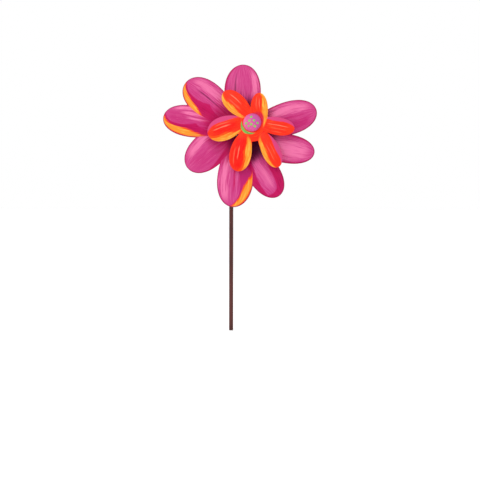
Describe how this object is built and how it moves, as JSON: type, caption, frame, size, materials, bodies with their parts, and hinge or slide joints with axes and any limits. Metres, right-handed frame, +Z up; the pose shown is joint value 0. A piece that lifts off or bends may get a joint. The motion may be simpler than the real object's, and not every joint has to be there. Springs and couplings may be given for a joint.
{
  "type": "garden wind spinner",
  "caption": "Garden stake with a two-layer painted metal flower head that turns freely in the wind on a tilted spindle.",
  "frame": {"origin": "centre of the blunt lower end of the stake", "axes": "+Z up along the straight stake, -Y the way the flower looks, +X to the right of someone facing the flower"},
  "size_m": [0.1804, 0.0501, 0.3053],
  "materials": {
    "stake_brown": "brown powder coat, satin",
    "petal_pink": "hand-painted magenta-pink with pale streaks, dark edges and orange crescents, semi-gloss",
    "petal_orange": "hand-painted orange-red with yellow-orange and pink bands, semi-gloss",
    "button_pink": "painted pink with green dots, glossy",
    "zinc_plate": "bright zinc plate",
    "black_oxide": "black oxide on spring steel",
    "white_nylon": "natural moulded nylon"
  },
  "bodies": {
    "stake": {"stake_rod": "stake_brown", "rear_push_ring": "black_oxide", "rear_washer": "zinc_plate", "front_washer": "zinc_plate", "axle_cap": "black_oxide"},
    "flower_head": {"hub_spool": "zinc_plate", "front_bush": "white_nylon", "rear_bush": "white_nylon", "large_flower": "petal_pink", "hub_rivet_1": "zinc_plate", "hub_rivet_2": "zinc_plate", "hub_rivet_3": "zinc_plate", "post_nut": "zinc_plate", "rear_lock_washer": "zinc_plate", "post_spacer": "zinc_plate", "front_lock_washer": "zinc_plate", "small_flower": "petal_orange", "post_screw": "zinc_plate", "button": "button_pink"}
  },
  "joints": [
    {"name": "head_spin", "type": "hinge", "parent": "stake", "child": "flower_head", "pos_m": [0.0162, -0.027, 0.2263], "axis": [0, -0.9781, 0.2079], "continuous": true}
  ]
}
